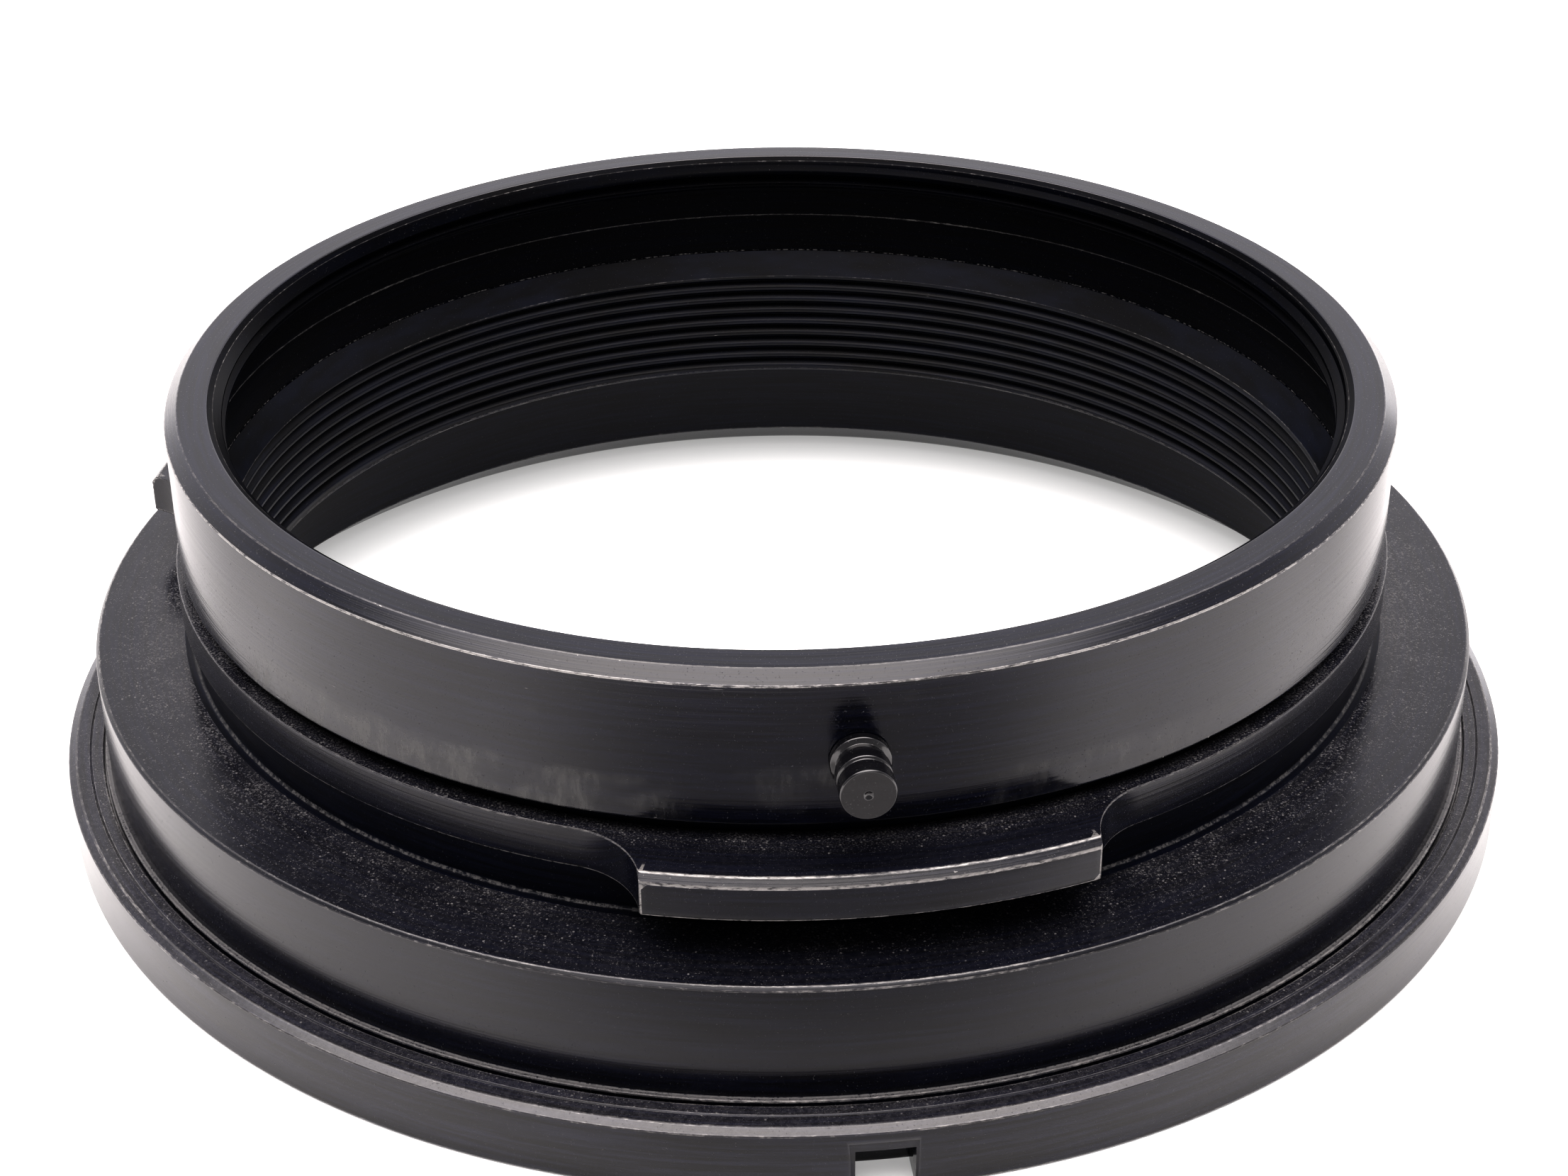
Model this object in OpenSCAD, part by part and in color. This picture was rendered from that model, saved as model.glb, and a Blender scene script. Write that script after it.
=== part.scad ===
// Bayonet thread adapter for a telescope: a turned tube with a fine thread at each end, a three-lug
// bayonet ring, a stepped body and a free-turning coupling ring. It stands on its rear face at z = 0,
// and the tube's axis is Z. The index direction, where the pin and the key slot are, is near -Y.

/* [Threads] */
// Pitch of the front and the rear thread
pitch = 0.75; // [0.5:0.25:1]
// Major diameter of the front thread
front_thread_d = 57; // [56.5:0.1:57.4]
// Major diameter of the rear thread
rear_thread_d = 58; // [57.6:0.1:58.2]
// Height of the top crest of the front thread
front_crest_z = 21.23; // [21.1:0.01:21.3]
// Height of the top groove of the rear thread
rear_groove_z = 13.87; // [13.8:0.01:14]
// Grooves of the rear thread
rear_turns = 8; // [6:1:8]

/* [Barrel] */
// Outer diameter of the barrel
barrel_d = 62.1; // [61.8:0.1:62.6]
// Height of the front rim above the rear face
total_h = 22; // [21.9:0.1:22.6]
// Height of the barrel's rear edge
barrel_z = 14.5; // [14.2:0.05:15]
// Width of the bevel around the outside of the rim
rim_bevel_w = 0.65; // [0.5:0.05:0.8]
// Depth of the bevel around the outside of the rim
rim_bevel_h = 0.55; // [0.4:0.05:0.7]
// Bore between the two threads
relief_d = 59; // [58.8:0.1:59.2]

/* [Sleeve] */
// Outer diameter of the inner sleeve that the other pieces are screwed to
sleeve_d = 60.2; // [60:0.1:60.4]
// Height of the sleeve's front end, inside the barrel
sleeve_top_z = 18; // [17:0.1:18.5]
// Height of the sleeve's rear end
sleeve_z = 7.95; // [7.8:0.05:8]
// Length of the lead-in cone in front of the rear thread
lead_in_h = 1.45; // [1:0.05:1.5]

/* [Bayonet ring] */
// Outer diameter across the lugs
lug_d = 68.2; // [67.4:0.1:68.6]
// Outer diameter between the lugs
ring_d = 62.6; // [62.4:0.1:62.8]
// Height of the rear face of the ring and its lugs
ring_z = 11.65; // [11.4:0.05:11.8]
// Height of the ring's front face
ring_top_z = 13.7; // [13.4:0.05:13.9]
// Lugs around the ring
lug_count = 3; // [2:1:4]
// Width of each lug at its outer edge, in degrees
lug_arc = 34.1; // [28:0.1:36]
// Radius of the cutter that left the hollow at each end of a lug
cutter_r = 4.2; // [3:0.1:5]
// Chamfer along the front edge of the lugs
lug_chamfer = 0.36; // [0.2:0.02:0.5]

/* [Body] */
// Outer diameter of the collar
collar_d = 71.7; // [71.3:0.1:71.8]
// Height of the collar's front face, which the mating bayonet rests on
collar_z = 9.45; // [9.3:0.05:9.6]
// Outer diameter of the neck below the bayonet ring
neck_d = 61.7; // [61.6:0.1:62]
// Diameter of the skirt that the coupling ring turns on
skirt_d = 72.2; // [72.1:0.1:72.4]
// Height of the ledge between the collar and the skirt
ledge_z = 3.55; // [3.5:0.05:3.6]
// Diameter of the recess in the rear face
recess_d = 65.8; // [65:0.1:66]
// Height of the recess's floor, which is the rear side of the web
web_z = 7.6; // [7.3:0.1:7.7]
// Height of the chamfer around the mouth of the recess
mouth_chamfer_h = 1.85; // [1.5:0.05:2]
// Width of the chamfer around the mouth of the recess
mouth_chamfer_w = 2.5; // [2:0.1:2.6]

/* [Coupling ring] */
// Outer diameter of the coupling ring
coupling_d = 76; // [75.6:0.1:76.4]
// Height of the coupling ring's front face
coupling_top_z = 3.4; // [3.35:0.05:3.45]
// Radial clearance between the coupling ring and the skirt
running_gap = 0.08; // [0.04:0.01:0.1]
// Width of the key slot
slot_w = 2.65; // [2:0.05:4]
// Height of the key slot
slot_h = 2.25; // [1.5:0.05:2.3]

/* [Index pin] */
// Diameter of the pin's head
pin_d = 2.45; // [2:0.05:2.5]
// Height of the pin's axis
pin_z = 17.75; // [17.5:0.05:18]
// How far the pin stands out of the barrel
pin_reach = 2.8; // [2.4:0.05:3]

/* [Directions] */
// Direction of the index pin, in degrees from -Y towards +X
pin_az = 5.95; // [-180:0.05:180]
// Direction of the first lug's middle
lug_az = 6.6; // [-180:0.05:180]
// Direction of the key slot when the coupling ring is at home
slot_az = 6.4; // [-180:0.05:180]

/* [Hidden] */
$fn = 180;
eps = 0.02;                      // gap of a screwed or pressed seat
thread_depth = 0.541 * pitch;    // of a 60 degree internal thread
land_h = 0.15;                   // width of a thread's crest
front_major_r = front_thread_d / 2;
front_minor_r = front_major_r - thread_depth;
rear_major_r = rear_thread_d / 2;
rear_minor_r = rear_major_r - thread_depth;
relief_r = relief_d / 2;
barrel_r = barrel_d / 2;
sleeve_r = sleeve_d / 2;
ring_r = ring_d / 2;
lug_r = lug_d / 2;
collar_r = collar_d / 2;
neck_r = neck_d / 2;
skirt_r = skirt_d / 2;
recess_r = recess_d / 2;
coupling_r = coupling_d / 2;
front_crests = 2;
entry_w = 0.44;                  // chamfer inside the rim, in front of the front thread
entry_h = 0.22;
entry_taper = 0.12;              // widening of the front thread's first groove
front_end_z = front_crest_z - front_crests * pitch + land_h;
rear_crest_z = rear_groove_z + pitch / 2;     // where the lead-in cone ends
rear_last_z = rear_groove_z - (rear_turns - 1) * pitch;
lip_h = 0.5;                     // flank of the rear thread's last groove
fine_chamfer = 0.12;             // of a turned edge
corner_fillet = 0.2;             // left by the tool between the neck and the collar
foot_fillet = 0.08;              // left by the tool between the collar and the ledge
collar_chamfer = 0.17;
ring_chamfer = 0.25;             // inside the bayonet ring's front edge
lug_root = 0.6;                  // how far the lugs run into their ring
margin = 1;                      // by which a cutting shape passes the solid
seat_z = 2.47;                   // rear side of the snap ring
snap_h = 0.5;
snap_in_r = skirt_r - 0.53;
snap_out_r = skirt_r + 0.42;
snap_gap = 10;                   // degrees left open in the snap ring
groove_gap = 0.08;               // of the coupling ring's groove around the snap ring
coupling_z = 0.05;
coupling_chamfer_w = 0.42;
coupling_chamfer_h = 0.2;
line_r = skirt_r + 0.75;         // fine turned groove in the coupling ring's front face
line_w = 0.12;
line_h = 0.06;
pin_r = pin_d / 2;
pin_shank_r = pin_r - 0.35;
pin_seat = 0.8;                  // depth of the pin's hole in the barrel's wall
pin_step = 0.12;                 // shoulder above the head, groove below it, and edge chamfer
pin_slope = 0.06;                // height of the pin's small chamfers
pin_shoulder_h = 0.42;
pin_waist_h = 0.95;
pin_groove_z = 1.65;              // groove around the head
pin_groove_h = 0.2;
pin_dimple_r = 0.22;
pin_dimple_h = 0.15;

// Turns of a thread's profile down from its first crest: crest, then groove, for each turn
function thread_profile(minor_r, major_r, crest_z, turns) = [
    for (i = [0 : turns - 1]) let (z = crest_z - i * pitch) each [
        [minor_r, z + land_h / 2],
        [minor_r, z - land_h / 2],
        [major_r, z - pitch / 2]
    ]
];

// A point at radius r in the direction az, in degrees from -Y towards +X
function at(r, az) = [r * sin(az), -r * cos(az)];

// Inner sleeve: it carries the rear thread, and its outside carries every other piece
module thread_sleeve() {
    color([0.13, 0.13, 0.14])
    rotate_extrude()
    polygon(concat(
        [[sleeve_r, sleeve_top_z], [relief_r, sleeve_top_z], [relief_r, rear_crest_z + lead_in_h]],
        thread_profile(rear_minor_r, rear_major_r, rear_crest_z, rear_turns),
        [
            [rear_minor_r, rear_last_z - lip_h],
            [rear_minor_r, sleeve_z + fine_chamfer],
            [rear_minor_r + fine_chamfer, sleeve_z],
            [sleeve_r, sleeve_z]
        ]
    ));
}

// Barrel: the front tube with the front thread, screwed over the sleeve
module barrel() {
    seat_r = sleeve_r + eps;
    color([0.11, 0.11, 0.12])
    difference() {
        rotate_extrude()
        polygon(concat(
            [
                [barrel_r - fine_chamfer, barrel_z],
                [barrel_r, barrel_z + fine_chamfer],
                [barrel_r, total_h - rim_bevel_h],
                [barrel_r - rim_bevel_w, total_h],
                [front_major_r + entry_w, total_h],
                [front_major_r + entry_taper, total_h - entry_h],
                [front_major_r, front_crest_z + pitch / 2]
            ],
            thread_profile(front_minor_r, front_major_r, front_crest_z, front_crests),
            [
                [relief_r, front_end_z],
                [relief_r, sleeve_top_z],
                [seat_r, sleeve_top_z],
                [seat_r, barrel_z + fine_chamfer],
                [seat_r + fine_chamfer, barrel_z]
            ]
        ));
        index_pin_place() translate([0, 0, -pin_seat - eps])
        cylinder(h = pin_seat + margin, r = pin_shank_r + eps, $fn = 48);
    }
}

// One lug's outline from above. The cutter that left the hollow at each end just touched the ring's wall
module lug_outline() {
    cutter_at_r = ring_r + cutter_r;
    hollow_az = acos((pow(lug_r, 2) + pow(cutter_at_r, 2) - pow(cutter_r, 2)) / (2 * lug_r * cutter_at_r));
    reach = lug_arc / 2 + hollow_az;
    difference() {
        polygon(concat(
            [for (i = [-8 : 8]) at(lug_r + margin, reach * i / 8)],
            [for (i = [-8 : 8]) at(ring_r - lug_root, -reach * i / 8)]
        ));
        for (side = [-1, 1]) translate(at(cutter_at_r, side * reach)) circle(cutter_r, $fn = 96);
    }
}

// Bayonet ring: a plain ring with lugs that hook behind the mating bayonet
module bayonet_ring() {
    bore_r = sleeve_r + eps;
    color([0.14, 0.14, 0.15])
    union() {
        rotate_extrude()
        polygon([
            [bore_r, ring_z], [ring_r, ring_z], [ring_r, ring_top_z - fine_chamfer],
            [ring_r - fine_chamfer, ring_top_z], [bore_r + ring_chamfer, ring_top_z],
            [bore_r, ring_top_z - ring_chamfer]
        ]);
        for (i = [0 : lug_count - 1]) rotate([0, 0, lug_az + i * 360 / lug_count])
        intersection() {
            rotate_extrude()
            polygon([
                [ring_r - lug_root, ring_z], [lug_r - fine_chamfer, ring_z], [lug_r, ring_z + fine_chamfer],
                [lug_r, ring_top_z - lug_chamfer], [lug_r - lug_chamfer, ring_top_z],
                [ring_r - lug_root, ring_top_z]
            ]);
            translate([0, 0, ring_z - margin]) linear_extrude(ring_top_z - ring_z + 2 * margin) lug_outline();
        }
    }
}

// Body: neck, collar, and the skirt around the recess in the rear face
module mount_body() {
    bore_r = sleeve_r + eps;
    mouth_r = recess_r + mouth_chamfer_w;
    color([0.12, 0.12, 0.13])
    rotate_extrude()
    polygon([
        [mouth_r, 0], [skirt_r - fine_chamfer, 0], [skirt_r, fine_chamfer],
        [skirt_r, seat_z], [snap_in_r, seat_z], [snap_in_r, seat_z + snap_h], [skirt_r, seat_z + snap_h],
        [skirt_r, ledge_z - fine_chamfer], [skirt_r - fine_chamfer, ledge_z],
        [collar_r + foot_fillet, ledge_z],
        [collar_r, ledge_z + foot_fillet], [collar_r, collar_z - collar_chamfer],
        [collar_r - collar_chamfer, collar_z], [neck_r + corner_fillet, collar_z],
        [neck_r, collar_z + corner_fillet],
        [neck_r, ring_z - eps], [bore_r, ring_z - eps], [bore_r, web_z], [recess_r, web_z],
        [recess_r, mouth_chamfer_h]
    ]);
}

// Coupling ring: it turns on the skirt, and its slot takes the key of the next piece
module coupling_ring() {
    bore_r = skirt_r + running_gap;
    groove_r = snap_out_r + groove_gap;
    color([0.15, 0.15, 0.16])
    difference() {
        rotate_extrude()
        polygon([
            [bore_r + fine_chamfer, coupling_z], [coupling_r - fine_chamfer, coupling_z],
            [coupling_r, coupling_z + fine_chamfer], [coupling_r, coupling_top_z - coupling_chamfer_h],
            [coupling_r - coupling_chamfer_w, coupling_top_z],
            [line_r + line_w / 2, coupling_top_z], [line_r, coupling_top_z - line_h],
            [line_r - line_w / 2, coupling_top_z],
            [bore_r + fine_chamfer, coupling_top_z], [bore_r, coupling_top_z - fine_chamfer],
            [bore_r, seat_z + snap_h + groove_gap], [groove_r, seat_z + snap_h + groove_gap],
            [groove_r, seat_z - groove_gap], [bore_r, seat_z - groove_gap],
            [bore_r, coupling_z + fine_chamfer]
        ]);
        rotate([0, 0, slot_az]) translate([-slot_w / 2, -coupling_r - margin, -margin])
        cube([slot_w, coupling_r - skirt_r + 2 * margin, slot_h + margin]);
    }
}

// Snap ring: a split flat wire in the skirt's groove that keeps the coupling ring on
module snap_ring() {
    color([0.55, 0.56, 0.58])
    rotate([0, 0, 90 + snap_gap / 2])
    rotate_extrude(angle = 360 - snap_gap)
    translate([snap_in_r + eps, seat_z + eps])
    square([snap_out_r - snap_in_r - eps, snap_h - 2 * eps]);
}

// Puts its children on the pin's axis, with +Z pointing out of the barrel and z = 0 on its wall
module index_pin_place() {
    rotate([0, 0, pin_az]) translate([0, -barrel_r, pin_z]) rotate([90, 0, 0]) children();
}

// Index pin: a turned pin with a shoulder, a waist and a chamfered head, pressed into the barrel
module index_pin() {
    shoulder_r = pin_r + pin_step;
    waist_r = pin_r - pin_step;
    groove_end = pin_groove_z + pin_groove_h;
    color([0.2, 0.2, 0.21])
    index_pin_place()
    difference() {
        rotate_extrude($fn = 64)
        polygon([
            [0, -pin_seat], [pin_shank_r, -pin_seat], [pin_shank_r, eps], [shoulder_r, pin_slope],
            [shoulder_r, pin_shoulder_h], [waist_r, pin_shoulder_h + pin_step], [waist_r, pin_waist_h],
            [pin_r, pin_waist_h + pin_slope], [pin_r, pin_groove_z], [waist_r, pin_groove_z + pin_slope],
            [waist_r, groove_end], [pin_r, groove_end + pin_slope], [pin_r, pin_reach - pin_step],
            [pin_r - pin_step, pin_reach], [0, pin_reach]
        ]);
        translate([0, 0, pin_reach - pin_dimple_h])
        cylinder(h = pin_dimple_h + eps, r1 = 0, r2 = pin_dimple_r, $fn = 32);
    }
}

thread_sleeve();
barrel();
bayonet_ring();
mount_body();
coupling_ring();
snap_ring();
index_pin();
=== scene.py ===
"""Looks of the bayonet thread adapter: turned, black anodised rings with fine threads, worn edges and dust.

Every visible node is rebuilt here as a finely turned mesh of the same size, with rounded edges and helical
threads. Lengths in this file are in millimetres unless a name says otherwise, and directions are in degrees
from -Y towards +X.
"""

import math

import bpy
import numpy as np
from mathutils import Matrix, Vector


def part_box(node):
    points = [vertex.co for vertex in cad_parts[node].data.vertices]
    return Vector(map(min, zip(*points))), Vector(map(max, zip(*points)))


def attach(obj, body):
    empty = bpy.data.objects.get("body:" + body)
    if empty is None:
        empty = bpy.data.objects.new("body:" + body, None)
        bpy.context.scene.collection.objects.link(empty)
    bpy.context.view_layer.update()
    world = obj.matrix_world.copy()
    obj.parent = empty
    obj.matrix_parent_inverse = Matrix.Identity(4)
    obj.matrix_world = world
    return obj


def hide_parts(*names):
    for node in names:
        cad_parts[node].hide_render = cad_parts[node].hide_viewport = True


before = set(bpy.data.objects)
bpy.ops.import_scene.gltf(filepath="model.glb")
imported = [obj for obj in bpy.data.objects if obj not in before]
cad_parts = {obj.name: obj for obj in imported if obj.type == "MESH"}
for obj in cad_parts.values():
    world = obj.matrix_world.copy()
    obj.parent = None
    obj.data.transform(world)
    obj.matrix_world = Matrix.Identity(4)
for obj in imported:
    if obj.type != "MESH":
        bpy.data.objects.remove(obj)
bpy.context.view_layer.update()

MM = 0.001
SEGMENTS = 288  # columns around a turned piece
PIN_SEGMENTS = 96
FADE = 0.28  # how far wear and dust reach from an edge or a nook
ARC_POINTS = 4  # points along a rounded corner
EDGE = 0.06  # rounding of the bayonet ring's edges


def low(node):
    """The lowest height of a CAD node."""
    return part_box(node)[0].z / MM


def high(node):
    """The greatest height of a CAD node."""
    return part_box(node)[1].z / MM


def reach(node):
    """The outer radius of a CAD node that is round about Z."""
    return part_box(node)[1].x / MM


# Sizes that the frame gives
BARREL_R = reach("barrel")
BARREL_LOW = low("barrel")
BARREL_TOP = high("barrel")
SLEEVE_R = reach("thread_sleeve")
SLEEVE_LOW = low("thread_sleeve")
SLEEVE_TOP = high("thread_sleeve")
RING_LOW = low("bayonet_ring")
RING_TOP = high("bayonet_ring")
BODY_TOP = high("mount_body")
SKIRT_R = reach("mount_body")
COUPLING_R = reach("coupling_ring")
COUPLING_LOW = low("coupling_ring")
COUPLING_TOP = high("coupling_ring")

# Sizes of the shapes inside a node, as in the CAD, but the threads are helices with heights of their own
PITCH = 0.75
THREAD_DEPTH = 0.541 * PITCH
FRONT_MAJOR_R = 28.5
FRONT_MINOR_R = FRONT_MAJOR_R - THREAD_DEPTH
FRONT_GROOVE_Z = 20.86
FRONT_END_Z = 19.99
ENTRY_W = 0.44  # chamfer inside the rim, in front of the front thread
ENTRY_H = 0.22
ENTRY_TAPER = 0.12
REAR_MAJOR_R = 29.0
REAR_MINOR_R = REAR_MAJOR_R - THREAD_DEPTH
REAR_GROOVE_Z = 13.89
REAR_TOP_Z = 14.32
REAR_END_Z = 8.12
LEAD_IN_Z = 15.695  # front end of the lead-in cone
RELIEF_R = 29.5
SEAT_R = SLEEVE_R + 0.02
RING_R = 31.3
LUG_R = 34.1
LUG_ARC = 34.1
LUG_AZ = 6.6
LUG_COUNT = 3
LUG_CHAMFER = 0.36
RING_CHAMFER = 0.25
BEVEL_W = 0.65
BEVEL_H = 0.55
CUTTER_R = 4.2
COLLAR_R = 35.85
COLLAR_CHAMFER = 0.17
COLLAR_Z = 9.45
NECK_R = 30.85
LEDGE_Z = 3.55
RECESS_R = 32.9
WEB_Z = 7.6
MOUTH_CHAMFER_W = 2.5
MOUTH_CHAMFER_H = 1.85
WIRE_GROOVE_LOW = 2.47  # groove of the snap ring in the skirt
WIRE_GROOVE_HIGH = 2.97
WIRE_GROOVE_DEPTH = 0.53
COUPLING_BORE_R = SKIRT_R + 0.08
COUPLING_CHAMFER_W = 0.42
COUPLING_CHAMFER_H = 0.2
COUPLING_GROOVE_R = SKIRT_R + 0.5  # groove of the snap ring in the coupling ring
COUPLING_GROOVE_LOW = 2.39
COUPLING_GROOVE_HIGH = 3.05
LINE_R = SKIRT_R + 0.75  # fine turned groove in the coupling ring's front face
LINE_SIZE = 0.06
SLOT_AZ = 6.4
SLOT_W = 2.65
SLOT_H = 2.25
PIN_AZ = 5.95
PIN_Z = 17.75
PIN_R = 1.225
PIN_REACH = 2.8
PIN_SEAT = 0.8
PIN_SHANK_R = PIN_R - 0.35
PIN_STEP = 0.12  # how far the shoulder stands out of the head, and the waist and groove lie in it
PIN_SLOPE = 0.06  # height of the pin's small chamfers
PIN_FOOT_Z = 0.02  # the shoulder stops just short of the barrel's wall
PIN_SHOULDER_Z = 0.42
PIN_WAIST_Z = 0.95
PIN_GROOVE_Z = 1.65
PIN_GROOVE_H = 0.2
PIN_DIMPLE_R = 0.22
PIN_DIMPLE_H = 0.15


# ---------------------------------------------------------------- meshes


def point(r, z, az):
    """A point in metres at radius r, height z and direction az."""
    a = math.radians(az)
    return (r * math.sin(a) * MM, -r * math.cos(a) * MM, z * MM)


def rounded(corners, closed=True):
    """Rounds each corner (r, z, rounding) of a profile that runs with the solid on its left.

    A fourth number below 1 is for an outer edge that has worn less than the others.

    Returns points (r, z, edge, nook): edge is 1 along an outer edge and fades to 0 within FADE of it, and
    nook is near 1 in the middle of an inner corner.
    """
    most = 0.35  # share of a side that a rounding may take
    room = 0.02  # least room for a point where the fading ends
    closest = 0.004  # points nearer than this are one
    out = []
    count = len(corners)
    for i, (r, z, size, *worn) in enumerate(corners):
        here = Vector((r, z))
        if not closed and i in (0, count - 1):
            out.append((r, z, 0.0, 0.0))
            continue
        back = Vector(corners[i - 1][:2]) - here
        ahead = Vector(corners[(i + 1) % count][:2]) - here
        turn = back.x * ahead.y - back.y * ahead.x
        edge, nook = (worn[0] if worn else 1.0, 0.0) if turn < 0 else (0.0, 1.0)
        cut = min(size, most * back.length, most * ahead.length)
        start = here + back.normalized() * cut
        end = here + ahead.normalized() * cut
        fade_back = min(cut + FADE, 0.5 * back.length)
        fade_ahead = min(cut + FADE, 0.5 * ahead.length)
        if fade_back > cut + room:
            share = 1 - (fade_back - cut) / FADE
            p = here + back.normalized() * fade_back
            out.append((p.x, p.y, edge * share, 0.0))
        for k in range(ARC_POINTS):
            t = k / (ARC_POINTS - 1)
            p = start * (1 - t) ** 2 + here * 2 * t * (1 - t) + end * t**2
            out.append((p.x, p.y, edge, nook * 4 * t * (1 - t)))
        if fade_ahead > cut + room:
            share = 1 - (fade_ahead - cut) / FADE
            p = here + ahead.normalized() * fade_ahead
            out.append((p.x, p.y, edge * share, 0.0))
    kept = [out[0]]
    for p in out[1:]:
        if math.hypot(p[0] - kept[-1][0], p[1] - kept[-1][1]) > closest:
            kept.append(p)
    return kept


def weighted_normals(mesh):
    """Smooth normals weighted by face area, so that flats stay flat beside their rounded edges."""
    faces = len(mesh.polygons)
    loops = len(mesh.loops)
    area = np.zeros(faces)
    normal = np.zeros(faces * 3)
    starts = np.zeros(faces, int)
    totals = np.zeros(faces, int)
    corner = np.zeros(loops, int)
    mesh.polygons.foreach_get("area", area)
    mesh.polygons.foreach_get("normal", normal)
    mesh.polygons.foreach_get("loop_start", starts)
    mesh.polygons.foreach_get("loop_total", totals)
    mesh.loops.foreach_get("vertex_index", corner)
    weight = np.repeat(normal.reshape(-1, 3) * area[:, None], totals, axis=0)
    total = np.zeros((len(mesh.vertices), 3))
    np.add.at(total, corner, weight)
    tiny = 1e-20
    total /= np.maximum(np.linalg.norm(total, axis=1, keepdims=True), tiny)
    mesh.shade_smooth()
    mesh.normals_split_custom_set_from_vertices(total.tolist())


def make_piece(name, verts, faces, edge, nook):
    """A mesh object with its wear and dust attributes."""
    mesh = bpy.data.meshes.new(name)
    mesh.from_pydata(verts, [], faces)
    mesh.validate()
    for label, values in (("edge", edge), ("nook", nook)):
        layer = mesh.attributes.new(label, "FLOAT", "POINT")
        layer.data.foreach_set("value", np.array(values, np.float32))
    obj = bpy.data.objects.new(name, mesh)
    bpy.context.scene.collection.objects.link(obj)
    return obj


def thread_turns(minor, groove_z, top, end, taper_top=0, taper_end=0, cut_top=None, cut_end=None):
    """A right-hand internal thread for lathe(), from its top to its end.

    groove_z is the height of one groove at the back (180 degrees). The thread's depth tapers to nothing over
    taper_top below the top and over taper_end above the end. cut_top and cut_end give the radius, at a
    height, of the cone that cuts the crests there.
    """
    # half widths of a groove at its mouth, on its flank and at its root
    crest, flank, root = 0.3, 0.265, 0.03
    turn = [(crest, 0.0), (flank, 0.07), (root, 0.96), (-root, 0.96), (-flank, 0.07), (-crest, 0.0)]
    first = groove_z - PITCH / 2  # the same groove at 0 degrees
    while first - crest < top:
        first += PITCH
    count = int(math.ceil((first - end) / PITCH)) + 2
    base = [(first - i * PITCH + dz, share) for i in range(count) for dz, share in turn]

    def radius(z, share):
        if taper_top:
            share *= min(1.0, max(0.0, (top - z) / taper_top))
        if taper_end:
            share *= min(1.0, max(0.0, (z - end) / taper_end))
        r = minor + THREAD_DEPTH * share
        if cut_top:
            r = max(r, cut_top(z))
        if cut_end:
            r = max(r, cut_end(z))
        return r

    return {"base": base, "per_turn": len(turn), "radius": radius, "top": top, "end": end}


def lathe(name, profile, thread=None, thread_after=None):
    """Turns a closed profile of (r, z, edge, nook) into a mesh.

    With a thread, the profile's points thread_after and thread_after + 1 are the thread's upper and lower
    end, and its turns go between them.
    """
    verts, edge, nook, faces = [], [], [], []
    rings = len(profile)
    for c in range(SEGMENTS):
        for r, z, e, n in profile:
            verts.append(point(r, z, 360 * c / SEGMENTS))
            edge.append(e)
            nook.append(n)
    helix = {}
    if thread:
        clear = 0.006  # closest that the turns come to the profile's own points
        for c in range(SEGMENTS):
            rise = PITCH * c / SEGMENTS
            for j, (z0, share) in enumerate(thread["base"]):
                z = z0 + rise
                if thread["end"] + clear < z < thread["top"] - clear:
                    helix[c, j] = len(verts)
                    verts.append(point(thread["radius"](z, share), z, 360 * c / SEGMENTS))
                    edge.append(0.0)
                    nook.append(0.0)

    def ring_vertex(c, i):
        return (c % SEGMENTS) * rings + i % rings

    def thread_vertex(c, j):
        """Point j of the turns in a column, or the profile's own point beyond either end of the thread."""
        if j < 0:
            return ring_vertex(c, thread_after)
        if j >= len(thread["base"]):
            return ring_vertex(c, thread_after + 1)
        z = thread["base"][j][0] + PITCH * c / SEGMENTS
        if c == SEGMENTS:
            # the last column meets the first one a turn lower
            c, j = 0, j - thread["per_turn"]
        if (c, j) in helix:
            return helix[c, j]
        upper = z > (thread["top"] + thread["end"]) / 2
        return ring_vertex(c, thread_after if upper else thread_after + 1)

    def add(corners):
        unique = [v for i, v in enumerate(corners) if v != corners[i - 1]]
        if len(unique) > 2:
            faces.append(unique)

    for c in range(SEGMENTS):
        for i in range(rings):
            if thread and i == thread_after:
                for j in range(-1, len(thread["base"])):
                    there = [thread_vertex(c + 1, j), thread_vertex(c + 1, j + 1)]
                    add([thread_vertex(c, j), *there, thread_vertex(c, j + 1)])
            else:
                there = [ring_vertex(c + 1, i), ring_vertex(c + 1, i + 1)]
                add([ring_vertex(c, i), *there, ring_vertex(c, i + 1)])
    return make_piece(name, verts, faces, edge, nook)


def finish_piece(obj, node, body, material):
    """Gives a piece its normals, material and body, in place of a CAD node."""
    weighted_normals(obj.data)
    obj.data.materials.append(material)
    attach(obj, body)
    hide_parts(node)


def line_inside(obj, radius, material, above=0.0):
    """Gives the faces inside a wall's radius, below the rim and above a height, a material of their own."""
    spare = 0.01  # added to the radius, as the wall's own points are at it
    rim = 0.03  # left out at the barrel's top
    mesh = obj.data
    mesh.materials.append(material)
    away = [math.hypot(v.co.x, v.co.y) for v in mesh.vertices]
    for face in mesh.polygons:
        within = max(away[v] for v in face.vertices) < (radius + spare) * MM
        if within and above * MM < face.center.z < (BARREL_TOP - rim) * MM:
            face.material_index = 1


def index_of(profile, r, z):
    """The profile point nearest to (r, z)."""
    return min(range(len(profile)), key=lambda i: math.hypot(profile[i][0] - r, profile[i][1] - z))


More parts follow.
